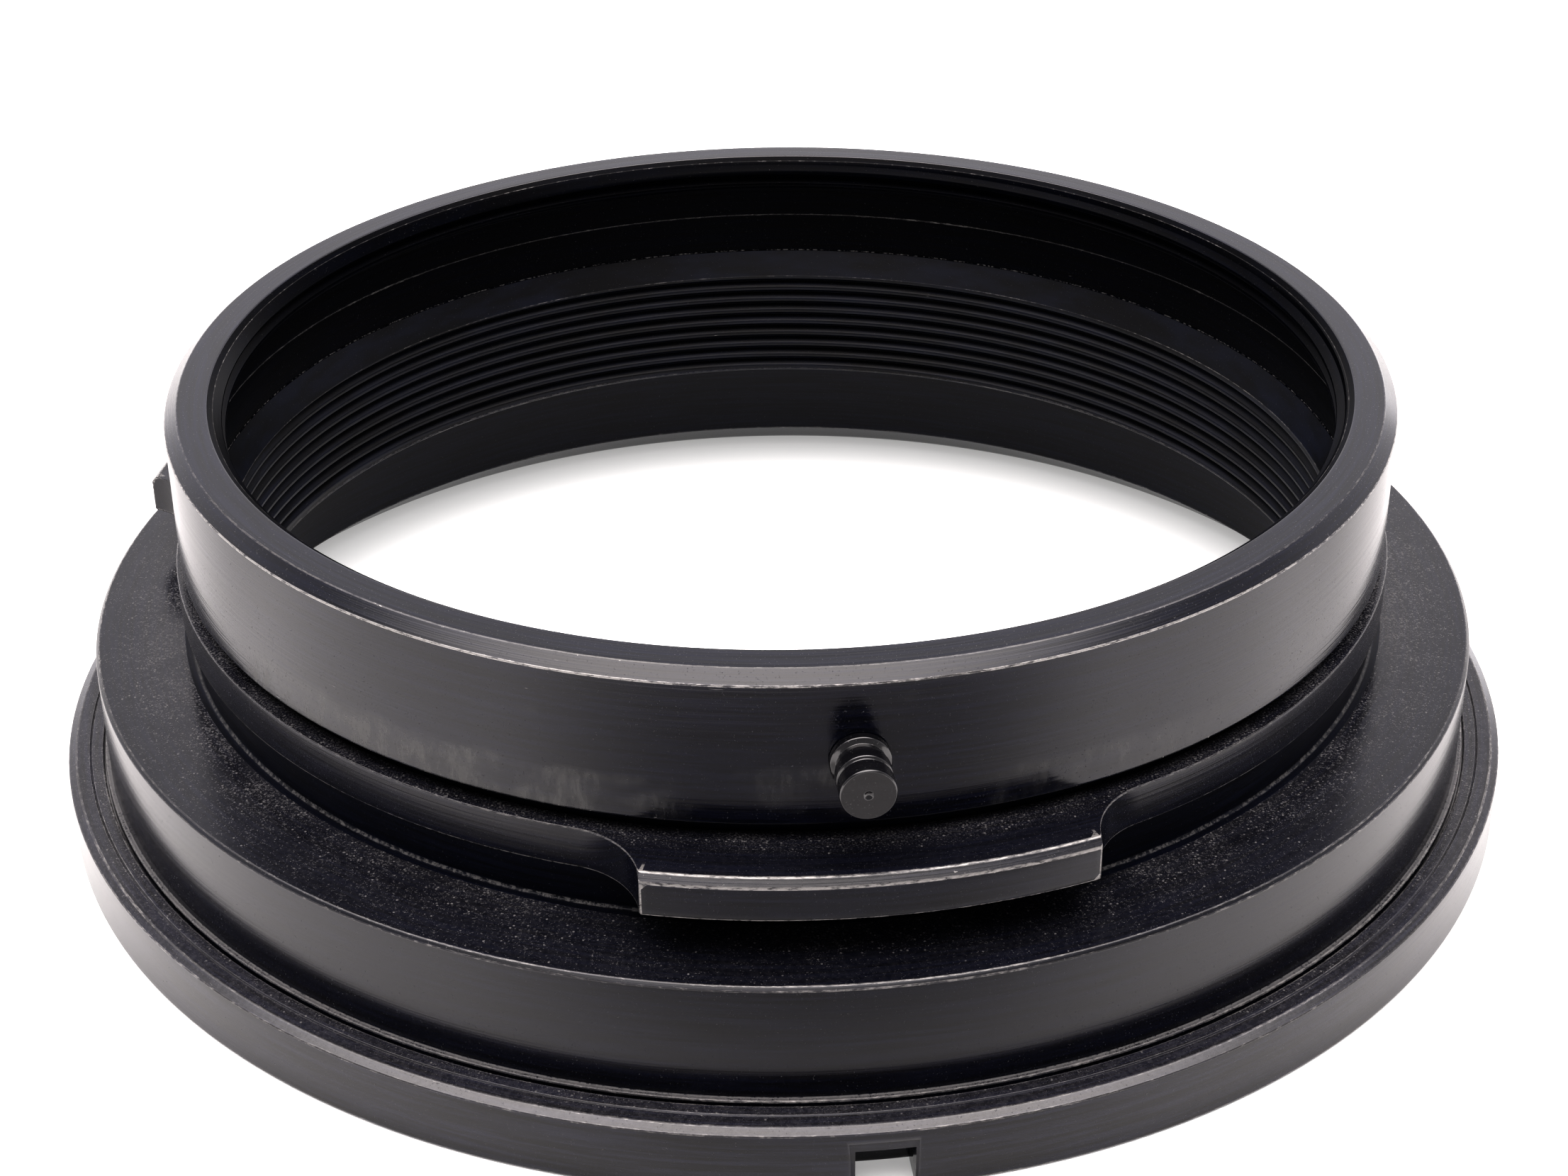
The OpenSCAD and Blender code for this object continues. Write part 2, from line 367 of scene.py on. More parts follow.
def build_barrel(material, inside):
    """Front tube with the front thread and the bevelled rim."""
    thread_top = BARREL_TOP - ENTRY_H
    top_r = FRONT_MAJOR_R + ENTRY_TAPER
    top_slope = 0.9
    end_r = RELIEF_R - 0.4
    end_slope = 4.5
    relief_top = FRONT_END_Z - 0.11
    corners = [
        (BARREL_R, BARREL_LOW, 0.12, 0.9),
        (BARREL_R, BARREL_TOP - BEVEL_H, 0.045),
        (BARREL_R - BEVEL_W, BARREL_TOP, 0.045, 0.93),
        (FRONT_MAJOR_R + ENTRY_W, BARREL_TOP, 0.05, 0.85),
        (top_r, thread_top, 0.02),
        (end_r, FRONT_END_Z, 0.02),
        (RELIEF_R, relief_top, 0.05),
        (RELIEF_R, SLEEVE_TOP, 0.03),
        (SEAT_R, SLEEVE_TOP, 0.03),
        (SEAT_R, BARREL_LOW, 0.12),
    ]
    profile = rounded(corners)
    upper = index_of(profile, top_r, thread_top)
    lower = index_of(profile, end_r, FRONT_END_Z)
    profile = profile[: upper + 1] + profile[lower:]
    thread = thread_turns(
        FRONT_MINOR_R,
        FRONT_GROOVE_Z,
        thread_top,
        FRONT_END_Z,
        cut_top=lambda z: top_r - (thread_top - z) * top_slope,
        cut_end=lambda z: end_r - (z - FRONT_END_Z) * end_slope,
    )
    obj = lathe("barrel_turned", profile, thread, upper)
    finish_piece(obj, "barrel", "tube", material)
    line_inside(obj, RELIEF_R, inside)


def build_sleeve(material, inside):
    """Inner sleeve with the lead-in cone and the rear thread. Above the cone it looks like the barrel."""
    mouth = 0.12  # chamfer at the rear end
    lining_from = 15.6  # just below the edge of the lead-in cone
    corners = [
        (SLEEVE_R, SLEEVE_LOW, 0.05),
        (SLEEVE_R, SLEEVE_TOP, 0.05),
        (RELIEF_R, SLEEVE_TOP, 0.03),
        (RELIEF_R, LEAD_IN_Z, 0.06),
        (REAR_MINOR_R, REAR_TOP_Z, 0.02),
        (REAR_MINOR_R, REAR_END_Z, 0.02),
        (REAR_MINOR_R, SLEEVE_LOW + mouth, 0.03),
        (REAR_MINOR_R + mouth, SLEEVE_LOW, 0.03),
    ]
    profile = rounded(corners)
    upper = index_of(profile, REAR_MINOR_R, REAR_TOP_Z)
    lower = index_of(profile, REAR_MINOR_R, REAR_END_Z)
    profile = profile[: upper + 1] + profile[lower:]
    thread = thread_turns(
        REAR_MINOR_R,
        REAR_GROOVE_Z,
        REAR_TOP_Z,
        REAR_END_Z,
        taper_top=0.3,
        taper_end=0.25,
    )
    obj = lathe("thread_sleeve_turned", profile, thread, upper)
    finish_piece(obj, "thread_sleeve", "tube", material)
    line_inside(obj, RELIEF_R, inside, above=lining_from)


def build_body(material, inside):
    """Neck, collar and skirt."""
    groove_r = SKIRT_R - WIRE_GROOVE_DEPTH
    corners = [
        (SKIRT_R, 0.0, 0.12),
        (SKIRT_R, WIRE_GROOVE_LOW, 0.02),
        (groove_r, WIRE_GROOVE_LOW, 0.02),
        (groove_r, WIRE_GROOVE_HIGH, 0.02),
        (SKIRT_R, WIRE_GROOVE_HIGH, 0.02),
        (SKIRT_R, LEDGE_Z, 0.12),
        (COLLAR_R, LEDGE_Z, 0.08),
        (COLLAR_R, COLLAR_Z - COLLAR_CHAMFER, 0.04),
        (COLLAR_R - COLLAR_CHAMFER, COLLAR_Z, 0.04),
        (NECK_R, COLLAR_Z, 0.2),
        (NECK_R, BODY_TOP, 0.03),
        (SEAT_R, BODY_TOP, 0.03),
        (SEAT_R, WEB_Z, 0.05),
        (RECESS_R, WEB_Z, 0.08),
        (RECESS_R, MOUTH_CHAMFER_H, 0.06),
        (RECESS_R + MOUTH_CHAMFER_W, 0.0, 0.05),
    ]
    obj = lathe("mount_body_turned", rounded(corners))
    finish_piece(obj, "mount_body", "tube", material)
    line_inside(obj, RECESS_R, inside)


def lug_outline():
    """The bayonet ring's outer radius around the ring: (direction, radius, how far it is a lug's corner)."""
    third = 360 / LUG_COUNT
    corner = 0.08  # rounding of the lug's corners
    # the cutter's circle touches the ring's wall and meets the lug's outer edge at the lug's corner
    cutter_at = RING_R + CUTTER_R
    hollow = math.acos((LUG_R**2 + cutter_at**2 - CUTTER_R**2) / (2 * LUG_R * cutter_at))
    swing = math.acos((cutter_at**2 + CUTTER_R**2 - LUG_R**2) / (2 * cutter_at * CUTTER_R))
    side_steps = 18
    ring_steps = 64
    face_steps = 40
    side = []
    for k in range(side_steps + 1):
        across = CUTTER_R * math.sin(swing * k / side_steps)
        out = cutter_at - CUTTER_R * math.cos(swing * k / side_steps)
        r = math.hypot(out, across)
        az = LUG_ARC / 2 + math.degrees(hollow - math.atan2(across, out))
        side.append((az, r, max(0.0, 1 - (LUG_R - r) / FADE)))
    side = [s for s in side if LUG_R - s[1] > corner]
    # the rounded corner: how far each point is past the lug's end and below its outer edge, in roundings
    for past, below in ((0.4, 1.0), (-0.3, 0.3), (-1.0, 0.0)):
        az = LUG_ARC / 2 + math.degrees(past * corner / LUG_R)
        side.append((az, LUG_R - below * corner, 1.0))
    side.append((LUG_ARC / 2 - math.degrees((corner + FADE) / LUG_R), LUG_R, 0.0))
    face_half = side[-1][0]
    ring_from = side[0][0]
    ring_to = third - ring_from
    outline = []
    for lug in range(LUG_COUNT):
        centre = LUG_AZ + lug * third
        for k in range(1, ring_steps):
            outline.append((centre + ring_from + (ring_to - ring_from) * k / ring_steps, RING_R, 0.0))
        for az, r, e in side:
            outline.append((centre + third - az, r, e))
        for k in range(1, face_steps):
            outline.append((centre + third - face_half + 2 * face_half * k / face_steps, LUG_R, 0.0))
        for az, r, e in reversed(side):
            outline.append((centre + third + az, r, e))
    return outline


def ring_section(radius, corner):
    """One section of the bayonet ring as (r, z, edge), where its outer radius is this far out."""
    e = EDGE
    chamfer_r = LUG_R - LUG_CHAMFER
    on_lug = radius > chamfer_r + e
    top = RING_TOP - max(0.0, radius - chamfer_r)
    lower_edge = 1.05  # worn a little more than other edges
    chamfer = 0.912  # the lug's chamfer has worn a little less than its two edges
    top_edge = 1.0 if on_lug else 0.94  # less worn between the lugs
    section = [
        (SEAT_R, RING_LOW, 0.0),
        (radius - e - FADE, RING_LOW, 0.0),
        (radius - e, RING_LOW, lower_edge),
        (radius, RING_LOW + e, lower_edge),
        (radius, RING_LOW + e + FADE, corner),
        (radius, top - e - FADE, corner),
        (radius, top - e, top_edge),
    ]
    if on_lug:
        section.append((radius - 0.6 * e, top + 0.6 * e, 1.0))
        for share in (0.8, 0.2):
            r = share * radius + (1 - share) * chamfer_r
            z = share * top + (1 - share) * RING_TOP
            section.append((r, z, chamfer))
        section.append((chamfer_r + 0.3 * e, RING_TOP - 0.3 * e, 1.0))
        section.append((chamfer_r - e, RING_TOP, 1.0))
    else:
        # the rounded edge, as shares of its rounding
        for inward, down in ((0.13, 0.6), (0.27, 0.35), (0.45, 0.18)):
            section.append((radius - inward * e, top - down * e, top_edge))
        for inward, down in ((0.7, 0.06), (1.0, 0.0)):
            section.append((radius - inward * e, RING_TOP - down * e, top_edge))
    section += [
        (min(radius, chamfer_r) - e - FADE, RING_TOP, corner),
        (SEAT_R + RING_CHAMFER + FADE, RING_TOP, 0.0),
        (SEAT_R + RING_CHAMFER, RING_TOP, 1.0),
        (SEAT_R, RING_TOP - RING_CHAMFER, 0.0),
    ]
    return section


def build_bayonet_ring(material):
    """Ring with three lugs. Each column of the mesh is a section whose outer radius grows into the lugs."""
    verts, edge, faces = [], [], []
    outline = lug_outline()
    for az, radius, corner in outline:
        section = ring_section(radius, corner)
        for r, z, e in section:
            verts.append(point(r, z, az))
            edge.append(e)
    rows = len(section)
    for c in range(len(outline)):
        here = c * rows
        after = (c + 1) % len(outline) * rows
        for i in range(rows):
            k = (i + 1) % rows
            faces.append([here + i, after + i, after + k, here + k])
    obj = make_piece("bayonet_ring_turned", verts, faces, edge, [0.0] * len(verts))
    finish_piece(obj, "bayonet_ring", "tube", material)


def cut_slot(obj):
    """Cuts the key slot, which is open at the rear, through the coupling ring's wall."""
    spare = 1.0  # how far the cutter stands out of the wall
    inner = (COUPLING_BORE_R - spare) * MM
    outer = (COUPLING_R + spare) * MM
    side = SLOT_W / 2 * MM
    corners = ((-side, inner), (side, inner), (side, outer), (-side, outer))
    box = [(x, -y, z * MM) for z in (-spare, SLOT_H) for x, y in corners]
    quads = [(0, 1, 2, 3), (7, 6, 5, 4), (0, 4, 5, 1), (1, 5, 6, 2), (2, 6, 7, 3), (3, 7, 4, 0)]
    mesh = bpy.data.meshes.new("slot_cutter")
    mesh.from_pydata(box, [], quads)
    mesh.transform(Matrix.Rotation(math.radians(SLOT_AZ), 4, "Z"))
    cutter = bpy.data.objects.new("slot_cutter", mesh)
    bpy.context.scene.collection.objects.link(cutter)
    boolean = obj.modifiers.new("slot", "BOOLEAN")
    boolean.object = cutter
    boolean.operation = "DIFFERENCE"
    boolean.solver = "EXACT"
    bpy.context.view_layer.update()
    graph = bpy.context.evaluated_depsgraph_get()
    result = bpy.data.meshes.new_from_object(obj.evaluated_get(graph))
    result.materials.clear()
    obj.modifiers.clear()
    obj.data = result
    bpy.data.objects.remove(cutter)


def build_coupling(material):
    """Outer ring with its turned front face and the key slot that is open at the rear."""
    corners = [
        (COUPLING_R, COUPLING_LOW, 0.1),
        (COUPLING_R, COUPLING_TOP - COUPLING_CHAMFER_H, 0.05),
        (COUPLING_R - COUPLING_CHAMFER_W, COUPLING_TOP, 0.05),
        (LINE_R + LINE_SIZE, COUPLING_TOP, 0.01),
        (LINE_R, COUPLING_TOP - LINE_SIZE, 0.01),
        (LINE_R - LINE_SIZE, COUPLING_TOP, 0.01),
        (COUPLING_BORE_R, COUPLING_TOP, 0.1),
        (COUPLING_BORE_R, COUPLING_GROOVE_HIGH, 0.02),
        (COUPLING_GROOVE_R, COUPLING_GROOVE_HIGH, 0.02),
        (COUPLING_GROOVE_R, COUPLING_GROOVE_LOW, 0.02),
        (COUPLING_BORE_R, COUPLING_GROOVE_LOW, 0.02),
        (COUPLING_BORE_R, COUPLING_LOW, 0.1),
    ]
    obj = lathe("coupling_ring_turned", rounded(corners))
    cut_slot(obj)
    finish_piece(obj, "coupling_ring", "coupling", material)


def turned_solid(name, profile, segments):
    """Turns an open profile of (r, z, edge, nook), which starts and ends on the axis, into a mesh."""
    start, *inner, end = profile
    verts = [(0.0, 0.0, start[1] * MM)]
    edge, nook, faces = [0.0], [0.0], []
    for c in range(segments):
        for r, z, e, n in inner:
            verts.append(point(r, z, 360 * c / segments))
            edge.append(e)
            nook.append(n)
    verts.append((0.0, 0.0, end[1] * MM))
    edge.append(0.0)
    nook.append(0.0)
    last = len(verts) - 1
    rings = len(inner)
    for c in range(segments):
        here = 1 + c * rings
        there = 1 + (c + 1) % segments * rings
        faces.append((0, there, here))
        for i in range(rings - 1):
            faces.append((here + i, there + i, there + i + 1, here + i + 1))
        faces.append((last, here + rings - 1, there + rings - 1))
    return make_piece(name, verts, faces, edge, nook)


def build_pin(material):
    """Index pin: shoulder, waist and grooved head, on its own axis and then put in place."""
    shoulder_r = PIN_R + PIN_STEP
    waist_r = PIN_R - PIN_STEP
    groove_top = PIN_GROOVE_Z + PIN_GROOVE_H
    corners = [
        (0.0, -PIN_SEAT, 0.0),
        (PIN_SHANK_R, -PIN_SEAT, 0.03),
        (PIN_SHANK_R, PIN_FOOT_Z, 0.01),
        (shoulder_r, 2 * PIN_FOOT_Z, 0.03),
        (shoulder_r, PIN_SHOULDER_Z, 0.06),
        (waist_r, PIN_SHOULDER_Z + PIN_STEP, 0.03),
        (waist_r, PIN_WAIST_Z, 0.03),
        (PIN_R, PIN_WAIST_Z + PIN_SLOPE, 0.05),
        (PIN_R, PIN_GROOVE_Z, 0.05),
        (waist_r, PIN_GROOVE_Z + PIN_SLOPE, 0.03),
        (waist_r, groove_top, 0.03),
        (PIN_R, groove_top + PIN_SLOPE, 0.05),
        (PIN_R, PIN_REACH - PIN_SLOPE, 0.02),
        (PIN_R - PIN_SLOPE, PIN_REACH, 0.02),
        (PIN_DIMPLE_R, PIN_REACH, 0.03),
        (0.0, PIN_REACH - PIN_DIMPLE_H, 0.0),
    ]
    obj = turned_solid("index_pin_turned", rounded(corners, closed=False), PIN_SEGMENTS)
    place = Matrix.Translation(point(BARREL_R, PIN_Z, PIN_AZ))
    turn = Matrix.Rotation(math.radians(PIN_AZ), 4, "Z") @ Matrix.Rotation(math.radians(90), 4, "X")
    obj.data.transform(place @ turn)
    finish_piece(obj, "index_pin", "tube", material)


# ---------------------------------------------------------------- materials


def rgb(r, g, b):
    return (r, g, b, 1.0)


BARE_METAL = rgb(0.33, 0.32, 0.31)
DUST_GREY = rgb(0.1, 0.098, 0.098)
VEIL_GREY = rgb(0.094, 0.092, 0.1)
RUB_GREY = rgb(0.05, 0.05, 0.049)
WHITE = rgb(1.0, 1.0, 1.0)


class Nodes:
    """Short names for building a node tree."""

    def __init__(self, tree):
        self.tree = tree

    def new(self, kind, **settings):
        node = self.tree.nodes.new(kind)
        for key, value in settings.items():
            setattr(node, key, value)
        return node

    def put(self, node, socket, value):
        """Sets a socket, or links it where value is another node's output."""
        if isinstance(value, bpy.types.NodeSocket):
            self.tree.links.new(value, node.inputs[socket])
        elif value is not None:
            node.inputs[socket].default_value = value

    def math(self, operation, a, b=None):
        node = self.new("ShaderNodeMath", operation=operation)
        self.put(node, 0, a)
        self.put(node, 1, b)
        return node.outputs[0]

    def plus(self, a, b):
        return self.math("ADD", a, b)

    def minus(self, a, b):
        return self.math("SUBTRACT", a, b)

    def times(self, a, b):
        return self.math("MULTIPLY", a, b)

    def larger(self, a, b):
        return self.math("MAXIMUM", a, b)

    def ramp(self, value, low_in, high_in, low_out=0.0, high_out=1.0, smooth=True):
        """Goes from one value to another between two inputs, and stays level beyond them."""
        node = self.new("ShaderNodeMapRange", clamp=True)
        node.interpolation_type = "SMOOTHSTEP" if smooth else "LINEAR"
        for i, v in enumerate((value, low_in, high_in, low_out, high_out)):
            self.put(node, i, v)
        return node.outputs[0]

    def band(self, value, low_end, high_end, soft):
        """1 where a value is between two ends, and 0 a little beyond them."""
        rise = self.ramp(value, low_end - soft, low_end)
        fall = self.ramp(value, high_end + soft, high_end)
        return self.times(rise, fall)

    def vector(self, x, y, z):
        node = self.new("ShaderNodeCombineXYZ")
        for i, value in enumerate((x, y, z)):
            self.put(node, i, value)
        return node.outputs[0]

    def split(self, vector):
        """A vector's x, y and z."""
        node = self.new("ShaderNodeSeparateXYZ")
        self.put(node, 0, vector)
        return tuple(node.outputs)

    def length(self, x, y):
        return self.math("SQRT", self.plus(self.times(x, x), self.times(y, y)))

    def direction(self, x, y):
        """Degrees from -Y towards +X."""
        return self.math("DEGREES", self.math("ARCTAN2", x, self.times(y, -1.0)))

    def coordinate(self, kind):
        return self.new("ShaderNodeTexCoord").outputs[kind]

    def attribute(self, label):
        return self.new("ShaderNodeAttribute", attribute_name=label).outputs["Fac"]

    def noise(self, vector, scale=1.0, detail=2.0, rough=0.5):
        node = self.new("ShaderNodeTexNoise")
        self.put(node, "Vector", vector)
        self.put(node, "Scale", scale)
        self.put(node, "Detail", detail)
        self.put(node, "Roughness", rough)
        return node.outputs[0]

    def blend(self, share, a, b):
        """A mix of two colours."""
        node = self.new("ShaderNodeMix", data_type="RGBA")
        self.put(node, 0, share)
        self.put(node, 6, a)
        self.put(node, 7, b)
        return node.outputs[2]

    def blend_value(self, share, a, b):
        """A mix of two numbers."""
        node = self.new("ShaderNodeMix", data_type="FLOAT")
        self.put(node, 0, share)
        self.put(node, 2, a)
        self.put(node, 3, b)
        return node.outputs[0]


class Place:
    """Where a point is on a turned piece, for the patterns on it."""

    def __init__(self, n, seed):
        self.n = n
        in_mm = n.new("ShaderNodeVectorMath", operation="MULTIPLY")
        n.put(in_mm, 0, n.coordinate("Object"))
        n.put(in_mm, 1, (1 / MM, 1 / MM, 1 / MM))
        self.mm = in_mm.outputs[0]
        self.x, self.y, self.z = n.split(self.mm)
        self.radius = n.length(self.x, self.y)
        self.turn = n.direction(self.x, self.y)
        self.up = n.ramp(n.split(n.coordinate("Normal"))[2], 0.5, 0.95)
        self.seed = seed
        # grows along the profile of a turned piece, on walls, faces and bevels alike
        slant = 1.3
        seed_shift = 11.0
        self.along = n.plus(n.plus(self.z, n.times(self.radius, -slant)), seed * seed_shift)

    def stretched(self, around, across):
        """Place for a pattern that is drawn out around the piece, by how fast it changes each way."""
        n = self.n
        return n.vector(n.times(self.x, around), n.times(self.y, around), n.times(self.along, across))

    def on_wall(self, around, up):
        """Place for a pattern on a wall, by how fast it changes each way."""
        n = self.n
        return n.vector(n.times(self.turn, around), n.times(self.z, up), self.seed)


def tool_lines(n, place):
    """Height of the turning lines, and the ones among them that fade in and out around the piece."""
    all_round = n.noise(n.vector(n.times(place.along, 3.0), place.seed, 0.0), detail=1.0)
    fine = n.noise(place.stretched(0.05, 9.0), detail=1.0)
    streaks = n.noise(place.stretched(0.16, 5.0), detail=3.0, rough=0.7)
    height = n.plus(n.times(all_round, 0.4), n.times(fine, 0.35))
    return n.plus(height, n.times(streaks, 0.25)), streaks


def worn_share(n, place, wear, worn_at, scratches):
    """Bare metal: a thin broken line along outer edges, brighter in clusters, with some chips beside it."""
    edge = n.attribute("edge")
    dashes = n.noise(place.stretched(2.4, 6.0), detail=3.0, rough=0.7)
    cluster = n.ramp(n.noise(place.stretched(0.09, 0.4), detail=2.0), 0.45, 0.65)
    for direction, half in worn_at:
        cluster = n.larger(cluster, n.band(place.turn, direction - half, direction + half, 9.0))
    shown = n.plus(dashes, n.times(cluster, 0.14))
    line = n.ramp(shown, 0.6 - 0.2 * wear, 0.84 - 0.2 * wear, 0.15, 1.0)
    line = n.times(n.ramp(edge, 0.9, 1.0), line)
    near_edge = n.plus(shown, n.times(n.minus(edge, 1.0), 0.5))
    chips = n.ramp(near_edge, 0.88 - 0.15 * wear, 0.91 - 0.15 * wear)
    share = n.larger(n.times(line, 1.1 * wear), chips)
    if scratches:
        marks = n.noise(place.stretched(0.9, 7.0), detail=2.0)
        share = n.larger(share, n.ramp(marks, 0.82 - 0.08 * scratches, 0.86, 0.0, 0.6))
    return share


def dust_shares(n, place, dust, film, dusty_rings):
    """Dust as specks and lint, and as a thin veil: on faces that look up, and along inner corners."""
    patches = n.ramp(n.noise(place.mm, scale=0.3, detail=3.0, rough=0.6), 0.35, 0.62, 0.6, 1.0)
    laid = n.times(place.up, 0.06)
    for inner, outer, amount in dusty_rings:
        # thickest in the corner at the inner radius
        ring = n.ramp(place.radius, outer, inner, 0.13 * amount, 0.46 * amount, smooth=False)
        ring = n.times(ring, n.ramp(place.radius, inner - 0.06, inner))
        ring = n.times(ring, n.ramp(place.radius, outer + 0.3, outer))
        laid = n.larger(laid, n.times(n.times(ring, place.up), patches))
    laid = n.plus(n.times(laid, dust), 0.006 * dust)

    specks = n.new("ShaderNodeTexVoronoi", feature="F1")
    n.put(specks, "Vector", place.mm)
    n.put(specks, "Scale", 6.5)
    kept = n.ramp(n.minus(laid, specks.outputs["Color"]), 0.0, 0.08)
    dots = n.times(kept, n.ramp(specks.outputs["Distance"], 0.42, 0.22))
    grain = n.noise(place.mm, scale=10.0, detail=2.0, rough=0.8)
    grain = n.ramp(n.plus(grain, n.times(laid, 0.36)), 0.66, 0.77, 0.0, 0.5)

    lint = n.noise(place.mm, scale=4.0, detail=3.0, rough=0.7)
    in_corner = n.ramp(n.attribute("nook"), 0.3, 0.9)
    corner = n.times(in_corner, n.ramp(lint, 0.5 - 0.15 * dust, 0.68 - 0.15 * dust))
    solid = n.larger(n.larger(dots, grain), n.times(corner, 0.9))
    veil = n.plus(n.times(place.up, film), n.times(laid, 0.3))
    return solid, n.times(veil, n.ramp(lint, 0.3, 0.75, 0.5, 1.5))


def rub_share(n, place, rubs):
    """Dull grey rubs on the walls, with strokes across the tool lines, or None without any."""
    if not rubs:
        return None
    strokes = n.noise(place.on_wall(0.9, 0.55), detail=3.0, rough=0.65)
    blotches = n.noise(place.on_wall(0.16, 0.5), detail=2.0)
    uneven = n.times(n.minus(blotches, 0.5), 2.4)
    share = None
    for direction, half, low_end, high_end, amount in rubs:
        around = n.band(place.turn, direction - half, direction + half, 8.0)
        patch = n.plus(n.times(around, n.band(place.z, low_end, high_end, 1.2)), uneven)
        patch = n.times(n.ramp(patch, 0.45, 1.3), n.ramp(strokes, 0.35, 0.72, 0.2 * amount, amount))
        share = n.larger(share, patch) if share else patch
    return share


def anodised(
    name,
    base,
    seed,
    rough=0.27,
    specular=0.5,
    ior=1.5,
    lines=1.0,
    streaked=0.3,
    wear=0.5,
    worn_at=(),
    dust=0.5,
    film=0.0,
    dusty_rings=(),
    rubs=(),
    scratches=0.0,
):
    """Turned and black anodised aluminium.

    Fine circumferential tool lines run all round. Bare metal shows in broken dashes along outer edges, most
    of all in the directions worn_at, as (direction, half width). Dust lies in inner corners and on faces that
    look up, most of all between the radii of dusty_rings, as (inner, outer, amount). Rubs are dull grey
    patches on a wall, as (direction, half width, low, high, amount).
    """
    material = bpy.data.materials.new(name)
    material.use_nodes = True
    tree = material.node_tree
    tree.nodes.clear()
    n = Nodes(tree)
    place = Place(n, seed)
    height, streaks = tool_lines(n, place)
    worn = worn_share(n, place, wear, worn_at, scratches)
    dusty, veil = dust_shares(n, place, dust, film, dusty_rings)
    rubbed = rub_share(n, place, rubs)

    black = n.new("ShaderNodeVectorMath", operation="SCALE")
    n.put(black, 0, base[:3])
    n.put(black, "Scale", n.ramp(streaks, 0.35, 0.7, 1.0 - streaked, 1.0 + 4.0 * streaked))
    colour = black.outputs[0]
    roughness = n.plus(rough - 0.06, n.times(height, 0.12))
    if rubbed:
        colour = n.blend(rubbed, colour, RUB_GREY)
        roughness = n.plus(roughness, n.times(rubbed, 0.2))
    colour = n.blend(veil, colour, VEIL_GREY)
    colour = n.blend(dusty, colour, DUST_GREY)
    colour = n.blend(worn, colour, BARE_METAL)
    roughness = n.blend_value(dusty, roughness, 0.9)
    roughness = n.blend_value(worn, roughness, 0.4)

    bump = n.new("ShaderNodeBump")
    n.put(bump, "Height", n.plus(height, n.times(dusty, 1.5)))
    n.put(bump, "Distance", 9e-6 * lines)
    n.put(bump, "Strength", 1.0)

    shader = n.new("ShaderNodeBsdfPrincipled")
    n.put(shader, "Base Color", colour)
    n.put(shader, "Roughness", roughness)
    n.put(shader, "Metallic", n.times(worn, 0.7))
    n.put(shader, "Normal", bump.outputs[0])
    n.put(shader, "IOR", ior)
    n.put(shader, "Specular IOR Level", specular)
    output = n.new("ShaderNodeOutputMaterial")
    n.put(output, "Surface", shader.outputs[0])
    return material


def barrel_black():
    return anodised(
        "barrel_black",
        rgb(0.0018, 0.0022, 0.0056),
        1.0,
        rough=0.16,
        lines=1.3,
        wear=0.8,
        worn_at=((-33, 20), (31, 9)),
        dust=0.3,
        scratches=0.7,
        rubs=(
            (-33, 17, 14.7, 16.2, 1.0),
            (-13, 3, 14.6, 15.3, 0.8),
            (1.8, 1.2, 15.3, 17.0, 0.5),
            (27, 9, 14.7, 16.0, 0.5),
        ),
    )


# painted shade: a darker, almost unreflective copy of the black for the faces inside the bore
def bore_shaded_black():
    return anodised(
        "bore_shaded_black",
        rgb(0.0001, 0.0003, 0.0014),
        8.0,
        rough=0.35,
        specular=0.04,
        wear=0.35,
        dust=0.3,
        scratches=0.4,
    )


def sleeve_black():
    return anodised(
        "sleeve_black",
        rgb(0.0012, 0.0017, 0.0042),
        2.0,
        rough=0.4,
        specular=0.22,
        streaked=0.5,
        wear=0.4,
        dust=0.6,
        scratches=0.5,
    )


def recess_black():
    return anodised("recess_black", rgb(0.0016, 0.0022, 0.0056), 9.0, rough=0.34, specular=0.22, wear=0.3)


def bayonet_black():
    return anodised(
        "bayonet_black",
        rgb(0.0022, 0.0026, 0.0058),
        3.0,
        rough=0.24,
        wear=0.65,
        worn_at=((-10.4, 1.0), (-4, 4), (23.6, 1.0)),
        dust=1.0,
        film=0.03,
        dusty_rings=((SEAT_R, RING_R + 0.8, 1.3),),
    )


def body_black():
    return anodised(
        "body_black",
        rgb(0.0018, 0.0022, 0.005),
        4.0,
        rough=0.18,
        lines=0.6,
        wear=0.4,
        dust=1.0,
        film=0.035,
        dusty_rings=((NECK_R, COLLAR_R - 0.3, 0.9), (COLLAR_R + 0.05, SKIRT_R + 2.0, 2.0)),
    )


def coupling_black():
    return anodised(
        "coupling_black",
        rgb(0.0026, 0.0029, 0.0056),
        5.0,
        rough=0.18,
        lines=0.8,
        streaked=0.6,
        wear=0.4,
        dust=1.0,
        film=0.15,
        dusty_rings=((COUPLING_BORE_R, COUPLING_R - 0.3, 0.6),),
    )


def pin_black():
    return anodised(
        "pin_black",
        rgb(0.005, 0.005, 0.006),
        6.0,
        rough=0.14,
        ior=1.75,
        lines=0.3,
        streaked=0.1,
        wear=0.0,
        dust=0.1,
    )


def spring_steel():
    return anodised("spring_steel", rgb(0.3, 0.3, 0.31), 7.0, rough=0.35, streaked=0.05, wear=0.1, dust=0.3)


# ---------------------------------------------------------------- surroundings


def flat_square(name, half_side, height):
    """A level square about the Z axis, in metres, as a stage object."""
    s = half_side
    mesh = bpy.data.meshes.new(name)
    mesh.from_pydata([(-s, -s, height), (s, -s, height), (s, s, height), (-s, s, height)], [], [(0, 1, 2, 3)])
    obj = bpy.data.objects.new(name, mesh)
    bpy.context.scene.collection.objects.link(obj)
    material = bpy.data.materials.new(name)
    material.use_nodes = True
    mesh.materials.append(material)
    return obj, material


